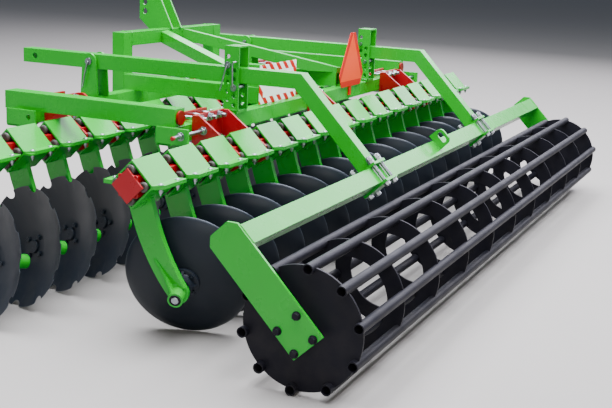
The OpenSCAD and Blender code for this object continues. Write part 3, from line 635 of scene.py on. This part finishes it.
def paths_mesh(lines):
    """Mesh of open paths, each a row of points."""
    mesh = bpy.data.meshes.new("paths")
    points = []
    edges = []
    for line in lines:
        edges += [(i, i + 1) for i in range(len(points), len(points) + len(line) - 1)]
        points += line
    mesh.from_pydata(points, edges, [])
    return mesh


def fasten(name, kind, rows, diameter, slot, body="frame", grip=0.0):
    """Puts a fastener on each row's place, with its head in the row's direction."""
    mesh = grown(kind, points_mesh(rows), slot, {"Diameter": diameter, "Grip": grip})
    return new_object(name, mesh, slot, body)


def run(name, kind, lines, radius, slot, body="frame", bend=0.008, ripple=0.0, pitch=0.012):
    """Runs rods or weld beads along paths."""
    mesh = grown(kind, paths_mesh(lines), slot, {
        "Radius": radius, "Bend": bend, "Ripple": ripple, "Pitch": pitch})
    return new_object(name, mesh, slot, body)


def thread(name, lines, body="frame"):
    """Runs threaded rods along paths."""
    return run(name, "rod", lines, ROD, "zinc", body, ripple=0.13, pitch=0.003)


def weld(name, lines, slot, body="frame"):
    """Runs weld beads 7 mm wide along paths."""
    return run(name, "bead", lines, 0.0035, slot, body, bend=0.003, ripple=0.16, pitch=0.009)


def mirrored(rows):
    """Rows of points with their mirror images on the machine's other side."""
    return rows + [[(-x, y, z) for x, y, z in row] for row in rows]


# Operators

class HARROW_OT_paint(bpy.types.Operator):
    """Give every solid of the frame its finish"""
    bl_idname = "harrow.paint"
    bl_label = "Finishes"

    def execute(self, context):
        slots = {row["node"]: row["material_slot"] for row in frame["record"]["subparts"]}
        for name, node in frame["nodes"].items():
            node.data.materials.clear()
            node.data.materials.append(finishes()[slots[name]])
        return {"FINISHED"}


class HARROW_OT_discs(bpy.types.Operator):
    """Make the discs with their ground rims, hubs and bolts"""
    bl_idname = "harrow.discs"
    bl_label = "Discs"

    def execute(self, context):
        for name in DISCS:
            row = 0 if name.startswith("front") else 1
            number = int(name[-2:])
            matrix = axle_frame(name)
            ahead = 1 if (matrix.to_3x3() @ Vector((0, 1, 0))).y > 0 else -1
            turn = math.radians((DISC_TURNS[number - 1] if row == 0 else REAR_TURN * number) * ahead)
            shape = self.shell(row, turn)
            self.hub(shape, row, turn)
            shape.transform(matrix)
            mesh = mesh_of(shape)
            mesh.set_sharp_from_angle(angle=math.radians(32))
            piece = new_object(name + "_dressed", mesh, "disc_steel", name)
            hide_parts(name)
        return {"FINISHED"}

    def dish(self, row):
        """Radius of a disc's rim, radius and middle of its hollow side, and height of its seat."""
        sizes = settings()[1]
        rim = (sizes.front, sizes.rear)[row] / 2
        hollow = (rim * rim + sizes.dish ** 2) / (2 * sizes.dish)
        middle = sizes.reach - sizes.dish + hollow
        seat = sizes.seat / 2
        return rim, hollow, middle, middle - math.sqrt(hollow ** 2 - seat * seat)

    def shell(self, row, turn):
        """Dished shell with its rim ground on the convex side."""
        sizes = settings()[1]
        rim, hollow, middle, face = self.dish(row)
        if row == 0:
            angles, radii = self.notched(rim, turn)
        else:
            angles = circle(96)
            radii = [rim] * len(angles)

        def inside(r):
            return middle - math.sqrt(hollow ** 2 - r * r)

        def outside(r):
            return middle - math.sqrt((hollow + sizes.thickness) ** 2 - r * r)

        seat = sizes.seat / 2
        # Width of the ground bevel, and the edge that it leaves
        ground = 0.010
        edge = 0.0016
        steps = (0.072, 0.095, 0.125, 0.16, 0.19, 0.214)
        back = face - sizes.thickness
        rings = [(0.0, 0, back), (0.06, 0, back), (seat, 0, back)]
        rings += [(r, 0, outside) for r in steps]
        rings += [(None, ground, outside), (None, 0.0006, lambda r: inside(r) - edge)]
        rings += [(None, 0, inside), (None, 0.001, inside)]
        rings += [(r, 0, inside) for r in reversed(steps)]
        rings += [(seat, 0, face), (0.045, 0, face), (0.0, 0, face)]
        return lathe(rings, angles, radii)

    def notched(self, rim, turn):
        """Angles and radii round the rim of a front disc, with its notches cut by a circle."""
        sizes = settings()[1]
        notch = sizes.notch / 2
        centre = rim + notch - sizes.notch_depth
        edge = math.acos((rim * rim + centre * centre - notch * notch) / (2 * rim * centre))
        # Places across half a notch, closer together at its corner, and the steps between two notches
        half = (0.25, 0.5, 0.7, 0.85, 0.95, 0.99, 1)
        shares = [-share for share in reversed(half)] + [0, *half]
        lands = 6
        step = 2 * math.pi / sizes.notches
        angles = []
        radii = []
        for i in range(sizes.notches):
            for angle in (edge * share for share in shares):
                across = centre * math.sin(angle)
                angles.append(turn + step * i + angle)
                radii.append(centre * math.cos(angle) - math.sqrt(notch ** 2 - across ** 2))
            for j in range(1, lands):
                angles.append(turn + step * i + edge + (step - 2 * edge) * j / lands)
                radii.append(rim)
        return angles, radii

    def hub(self, shape, row, turn):
        """Hub with a seal groove, flange and ribs on the convex side, and the disc's four bolts."""
        sizes = settings()[1]
        face = self.dish(row)[3]
        back = face - sizes.thickness
        r = sizes.hub / 2
        wide = sizes.flange / 2
        # Where the hub starts on the axle, and the radius of its bore
        start, bore = 0.031, 0.0202
        profile = (
            (0.0, start + 0.004), (bore, start + 0.004), (bore, start), (0.031, start),
            (r - 0.003, start + 0.001), (r, start + 0.004), (r, start + 0.011),
            (r - 0.0025, start + 0.0125), (r - 0.0025, start + 0.0155), (r, start + 0.017),
            (r, back - 0.021), (r + 0.003, back - 0.0145), (wide - 0.002, back - 0.0125),
            (wide, back - 0.011), (wide, back + 0.0002), (0.0, back + 0.0002))
        cap = (
            (0.0, face - 0.0005), (0.029, face - 0.0005), (0.029, face + 0.006), (0.026, face + 0.009),
            (0.005, face + 0.009), (0.004, face + 0.0075), (0.0, face + 0.0075))
        for rings in (profile, cap):
            part = lathe([(ring[0], 0, ring[1]) for ring in rings], circle(40))
            self.take(shape, mesh_of(part))
        outline = ((r - 0.002, back - 0.036), (wide - 0.005, back - 0.013), (r - 0.002, back - 0.011))
        for i in range(4):
            rib = bmesh.new()
            prism(rib, [[(x, y, z) for x, z in outline] for y in (-0.004, 0.004)])
            rib.transform(Matrix.Rotation(turn + math.radians(53 + 90 * i), 4, "Z"))
            self.take(shape, mesh_of(rib))
        ring = sizes.bolt_circle / 2
        spots = [turn + math.radians(8 + 90 * i) for i in range(4)]
        height = back - sizes.flange_thickness
        rows = [((ring * math.cos(a), ring * math.sin(a), height), (0, 0, 1)) for a in spots]
        self.take(shape, grown("disc_bolt", points_mesh(rows), "disc_steel", {
            "Diameter": 0.013, "Grip": sizes.flange_thickness + sizes.thickness}))

    def take(self, shape, mesh):
        """Moves a mesh into a bmesh."""
        shape.from_mesh(mesh)
        bpy.data.meshes.remove(mesh)


class HARROW_OT_cords(bpy.types.Operator):
    """Make the rubber cords in the clamps"""
    bl_idname = "harrow.cords"
    bl_label = "Rubber cords"

    def execute(self, context):
        clamp = settings()[2]
        half = clamp.width / 2 + clamp.cord_out
        rows = []
        for x, y in ARMS:
            for side, up in ((1, 0), (0, 1), (-1, 0), (0, -1)):
                rows.append(((x - half, y + side * clamp.cord_at, ROW_Z + up * clamp.cord_at), (1, 0, 0)))
        cords = fasten("cords", "cord", rows, 2 * clamp.cord_radius, "rubber", grip=2 * half)
        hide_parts("rubber_cords")
        return {"FINISHED"}


class HARROW_OT_clamp_bolts(bpy.types.Operator):
    """Bolt the clamps together"""
    bl_idname = "harrow.clamp_bolts"
    bl_label = "Clamp bolts"

    def execute(self, context):
        clamp = settings()[2]
        rows = []
        under = ROW_Z - clamp.plate
        rear = clamp.bolt_in - clamp.reach
        front = clamp.front - clamp.bolt_in
        # Half the front bolts' spacing, and how far left of the clamp's middle they sit
        spread, shift = 0.03, 0.015
        for x, y in ARMS:
            for side in (-1, 1):
                rows.append(((x + side * clamp.bolt_side, y + rear, under), (0, 0, 1)))
                rows.append(((x + side * spread - shift, y + front, under), (0, 0, 1)))
        fasten("clamp_bolts", "clamp_bolt", rows, 0.010, "zinc", grip=2 * clamp.plate)
        return {"FINISHED"}


class HARROW_OT_bolts(bpy.types.Operator):
    """Make the long bolts of the row brackets, with their shanks and threads"""
    bl_idname = "harrow.bolts"
    bl_label = "Bolts"

    def execute(self, context):
        # Three bolts in each outer bracket and two in the middle one, over and under the cross beams
        outer = [side * 1.125 + step * 0.085 for side in (-1, 1) for step in (-1, 0, 1)]
        grip = 0.094
        rows = []
        tails = []
        for y in (-0.045, 0.745):
            for x in (*outer, -0.036, 0.036):
                for z in (0.7805, 0.679):
                    rows.append(((x, y, z), (0, 1, 0)))
                    tails.append([(x, y - 0.035, z), (x, y, z)])
        bolts = fasten("long_bolts", "hex_bolt", rows, 2 * ROD, "zinc", grip=grip)
        shanks = [[(x, y + 0.001, z), (x, y + grip - 0.001, z)] for (x, y, z), along in rows]
        run("long_bolt_shanks", "rod", shanks, ROD, "zinc", pitch=0.2)
        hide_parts("frame_bolts")
        thread("long_bolt_threads", tails)
        return {"FINISHED"}


class HARROW_OT_screws(bpy.types.Operator):
    """Make the threaded screws that set the rear row sideways"""
    bl_idname = "harrow.screws"
    bl_label = "Adjusting screws"

    def execute(self, context):
        y, z = -0.091, 0.73767
        start, nut, cap, end = 1.256, 1.444, 1.499, 1.512
        screws = thread("screws", mirrored([[(start, y, z), (end, y, z)]]))
        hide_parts("adjusting_screws")
        seats = [((side * x, y, z), (side, 0, 0)) for side in (-1, 1) for x in (start, nut)]
        fasten("screw_nuts", "nut", seats, 2 * ROD, "zinc")
        caps = [((side * cap, y, z), (side, 0, 0)) for side in (-1, 1)]
        fasten("screw_caps", "cap", caps, 2 * ROD, "red_paint")
        return {"FINISHED"}


class HARROW_OT_handles(bpy.types.Operator):
    """Hang the wire handles on the pins"""
    bl_idname = "harrow.handles"
    bl_label = "Pin handles"

    def execute(self, context):
        # From the pin's end to the wire's plane
        x0, x1 = 0.864, 0.879
        lines = [
            [(x0, 0.790, 0.937), (x1, 0.790, 0.937), (x1, 0.820, 0.807)],
            [(x0, 0.011, 0.984), (x1, 0.011, 0.984), (x1, 0.044, 0.863)],
            [(x0, -0.022, 0.880), (x1, -0.022, 0.880), (x1, -0.019, 0.995), (x1, -0.034, 1.002),
             (x0, -0.034, 0.999)]]
        run("pin_handles", "rod", mirrored(lines), 0.004, "zinc", bend=0.006, pitch=0.02)
        return {"FINISHED"}


class HARROW_OT_roller_bolts(bpy.types.Operator):
    """Make the threaded rods that clamp the roller's beam, and the bolts of its side plates"""
    bl_idname = "harrow.roller_bolts"
    bl_label = "Roller bolts"

    def execute(self, context):
        rods = []
        nuts = []
        for x in (-0.857, -0.767, 0.767, 0.857):
            for n in (-0.052, 0.052):
                rods.append([on_beam(x, -0.070, n), on_beam(x, 0.088, n)])
                for u, way in ((0.052, 1), (0.0675, 1), (-0.052, -1)):
                    nuts.append((on_beam(x, u, n), tuple(way * part for part in BEAM_UP)))
        thread("roller_rods", rods, "roller_frame")
        fasten("roller_nuts", "nut", nuts, 0.017, "zinc", "roller_frame")
        # Outer face of the side plates, and the bolts round their bearing housings
        face = 2.099
        spots = ((-0.957, 0.3055), (-0.8865, 0.238), (-1.0225, 0.232), (-0.954, 0.1675))
        plates = [((side * face, y, z), (side, 0, 0)) for side in (-1, 1) for y, z in spots]
        fasten("side_plate_bolts", "nut", plates, 0.016, "black_paint", "roller_frame")
        return {"FINISHED"}


def on_beam(x, up, out):
    """Place at the roller's beam: sideways, up its slope and square to the slope."""
    return (x, BEAM[0] + up * BEAM_UP[1] - out * BEAM_UP[2], BEAM[1] + up * BEAM_UP[2] + out * BEAM_UP[1])


def ring(x, y0, y1, z0, z1):
    """Closed path round a box section that runs across the machine."""
    return [(x, y0, z0), (x, y1, z0), (x, y1, z1), (x, y0, z1), (x, y0, z0)]


class HARROW_OT_welds(bpy.types.Operator):
    """Lay the weld beads"""
    bl_idname = "harrow.welds"
    bl_label = "Weld beads"

    def execute(self, context):
        beads = []
        # Top of the cross beams, and the back and front of each
        top = 0.761
        back, front = (-0.033, 0.037), (0.757, 0.827)

        def lengthwise(x, y0, y1, z=top):
            beads.append([(x, y0, z), (x, y1, z)])

        # Lengthwise beams on the cross beams: the sides of the outer and of the inner ones
        outer, inner = (1.32, 1.4), (0.43, 0.51)
        for y0, y1 in (back, front):
            for x in outer:
                lengthwise(x, y0, y1)
            beads.append([(outer[0], y1, top), (outer[1], y1, top)])
            beads.append([(outer[0], y0, top), (outer[1], y0, top)])
            beads.append(ring(1.430, y0, y1, 0.691, top))
        for x in inner:
            lengthwise(x, 0.019, 0.037)
            lengthwise(x, 0.757, 0.826)
        # Headstock: top beam on the posts, the posts' feet and the mast plates
        beads.append(ring(0.43, 0.827, 0.897, 0.985, 1.055))
        beads.append([(0.43, 0.827, top), (0.43, 0.827, 0.841)])
        beads.append([(0.51, 0.827, 0.841), (0.51, 0.827, top)])
        for x in (0.040, 0.052):
            beads.append([(x, 0.827, 1.055), (x, 0.897, 1.055), (x, 0.897, 1.05)])
        # Feet of the pivot brackets and of the depth posts
        for x in (0.765, 0.775, 0.855, 0.865):
            lengthwise(x, *front)
        for x in (0.765, 0.865):
            lengthwise(x, *back)
            lengthwise(x, -0.041, 0.031, 0.776)
        weld("green_beads", mirrored(beads), "green_paint")
        # Bracket plates, 12 mm thick, and end plates on the row beams, 80 mm wide
        half = 0.04
        xs = [x + face for x in (-1.25, -1.0, 0.0, 1.0, 1.25) for face in (-0.006, 0.006)]
        xs += [-1.9915, 1.9915]
        rows = [ring(x, y - half, y + half, ROW_Z - half, ROW_Z + half) for y in ROWS for x in xs]
        weld("red_beads", rows, "red_paint")
        self.roller_frame()
        return {"FINISHED"}

    def roller_frame(self):
        """Beads of the clamp plates, the side plates and the lifting eye on the roller's beam."""
        half = 0.04
        arm = ((0.78, -0.03), (0.85, -0.03), (0.85, half), (0.78, half), (0.78, -0.03))
        square = ((-half, -half), (half, -half), (half, half), (-half, half), (-half, -half))
        beads = [[on_beam(x, 0.052, n) for x, n in arm], [on_beam(2.0875, u, n) for u, n in square]]
        lines = mirrored(beads)
        for x in (-0.008, 0.008):
            lines.append([on_beam(x, -0.020, half), on_beam(x, half, half)])
        weld("roller_frame_beads", lines, "green_paint", "roller_frame")


class HARROW_OT_ribs(bpy.types.Operator):
    """Make the ribs that stay the bosses on the arms"""
    bl_idname = "harrow.ribs"
    bl_label = "Boss ribs"

    def execute(self, context):
        shape = bmesh.new()
        for name in DISCS:
            middle, along = axle(name)
            # Out of the boss, up the arm's slope, and from the arm's middle to its outer face
            out = -along
            up = Vector((0, 0.637, 0.771))
            face = Vector((math.copysign(0.0125, out.x), 0, 0))
            outline = (
                middle + face * 0.6 + up * 0.02, middle + face * 0.6 + up * 0.166,
                middle + face * 1.1 + up * 0.163, middle + out * 0.026 + up * 0.092,
                middle + out * 0.046 + up * 0.046, middle + out * 0.055 + up * 0.027,
                middle + out * 0.055 + up * 0.02)
            across = out.cross(up).normalized() * 0.005
            prism(shape, [[point + across * way for point in outline] for way in (-1, 1)])
        new_object("boss_ribs", mesh_of(shape), "green_paint", "frame")
        return {"FINISHED"}


class HARROW_OT_axle_ends(bpy.types.Operator):
    """Make the axles' ends with their rings on the outer side of the arms"""
    bl_idname = "harrow.axle_ends"
    bl_label = "Axle ends"

    def execute(self, context):
        # From the middle of an arm to its boss's outer face
        reach = 0.0585
        rings = []
        for name in DISCS:
            middle, along = axle(name)
            rings.append((tuple(middle - along * reach), tuple(-along)))
        fasten("axle_rings", "axle_ring", rings, 0.04, "black_paint")
        fasten("axle_ends", "axle_end", rings, 0.04, "zinc")
        return {"FINISHED"}


class HARROW_OT_stage(bpy.types.Operator):
    """Set up the floor, the lights and the camera"""
    bl_idname = "harrow.stage"
    bl_label = "Studio"

    def execute(self, context):
        scene = context.scene
        tone = settings()[0]
        shape = bmesh.new()
        bmesh.ops.create_circle(shape, cap_ends=True, segments=96, radius=90)
        floor = bpy.data.objects.new("floor", mesh_of(shape, "floor"))
        floor.data.materials.append(floor_finish("studio_floor", tone.floor))
        scene.collection.objects.link(floor)
        world = bpy.data.worlds.new("studio")
        world.use_nodes = True
        background = world.node_tree.nodes["Background"].inputs
        background["Color"].default_value = rgba(tone.sky)
        background["Strength"].default_value = 0.3
        scene.world = world
        # Name, place, what it faces, size, power and colour of each light
        lights = (
            ("overhead", (0.0, 0.0, 7.5), (0.0, 0.0, 0.4), (9.0, 9.0), 4700.0, "#f4f7ff"),
            ("far_sky", (9.5, -0.5, 6.0), (0.0, 0.0, 0.6), (14.0, 6.0), 1750.0, "#f4f2ff"),
            ("front_soft", (-9.0, -5.0, 3.5), (0.0, 0.0, 0.5), (7.0, 5.0), 400.0, "#fff8ee"),
        )
        for name, place, target, width, power, tint in lights:
            lamp = bpy.data.lights.new(name, "AREA")
            lamp.shape = "RECTANGLE"
            lamp.size, lamp.size_y = width
            lamp.energy = power
            lamp.color = linear(tint)
            light = bpy.data.objects.new(name, lamp)
            light.location = place
            light.visible_camera = False
            light.rotation_euler = (Vector(place) - Vector(target)).to_track_quat("Z", "Y").to_euler()
            scene.collection.objects.link(light)
        self.camera(scene)
        return {"FINISHED"}

    def camera(self, scene):
        """Camera at the photograph's place: turned round the harrow, looking down, with a slight roll."""
        turn, down, roll = (math.radians(a) for a in (-65.63, 13.2, 2.52))
        place = Vector((-5.30789, -2.42738, 1.5256))
        # Focal length and width of the image in pixels, on Blender's 36 mm sensor
        focal, width, sensor = 1091.58, 612, 36
        back = Vector((math.sin(turn) * math.cos(down), -math.cos(turn) * math.cos(down), math.sin(down)))
        level = Vector((math.cos(turn), math.sin(turn), 0))
        upright = back.cross(level)
        right = level * math.cos(roll) + upright * math.sin(roll)
        up = upright * math.cos(roll) - level * math.sin(roll)
        data = bpy.data.cameras.new("camera")
        data.sensor_fit = "HORIZONTAL"
        data.sensor_width = sensor
        data.lens = focal / width * sensor
        data.clip_end = 300
        camera = bpy.data.objects.new("camera", data)
        camera.matrix_world = Matrix.Translation(place) @ Matrix((right, up, back)).transposed().to_4x4()
        scene.collection.objects.link(camera)
        scene.camera = camera


class HARROW_PT_panel(bpy.types.Panel):
    """Panel with the steps of the dressing"""
    bl_label = "Disc harrow"
    bl_idname = "HARROW_PT_panel"
    bl_space_type = "VIEW_3D"
    bl_region_type = "UI"
    bl_category = "Harrow"

    def draw(self, context):
        for step in STEPS:
            self.layout.operator(step.bl_idname)


STEPS = (
    HARROW_OT_stage, HARROW_OT_paint, HARROW_OT_discs, HARROW_OT_ribs, HARROW_OT_axle_ends, HARROW_OT_cords,
    HARROW_OT_clamp_bolts, HARROW_OT_bolts, HARROW_OT_screws, HARROW_OT_handles, HARROW_OT_roller_bolts,
    HARROW_OT_welds)
GROUPS = {
    "harrow_colours": HarrowColours, "harrow_discs": HarrowDiscSizes, "harrow_clamps": HarrowClampSizes}
CLASSES = (*GROUPS.values(), *STEPS, HARROW_PT_panel)


def register():
    for item in CLASSES:
        bpy.utils.register_class(item)
    for name, group in GROUPS.items():
        setattr(bpy.types.Scene, name, bpy.props.PointerProperty(type=group))


def unregister():
    for name in GROUPS:
        delattr(bpy.types.Scene, name)
    for item in reversed(CLASSES):
        bpy.utils.unregister_class(item)


def main():
    register()
    for step in STEPS:
        getattr(bpy.ops.harrow, step.bl_idname.split(".")[1])()
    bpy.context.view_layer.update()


if __name__ == "__main__":
    main()
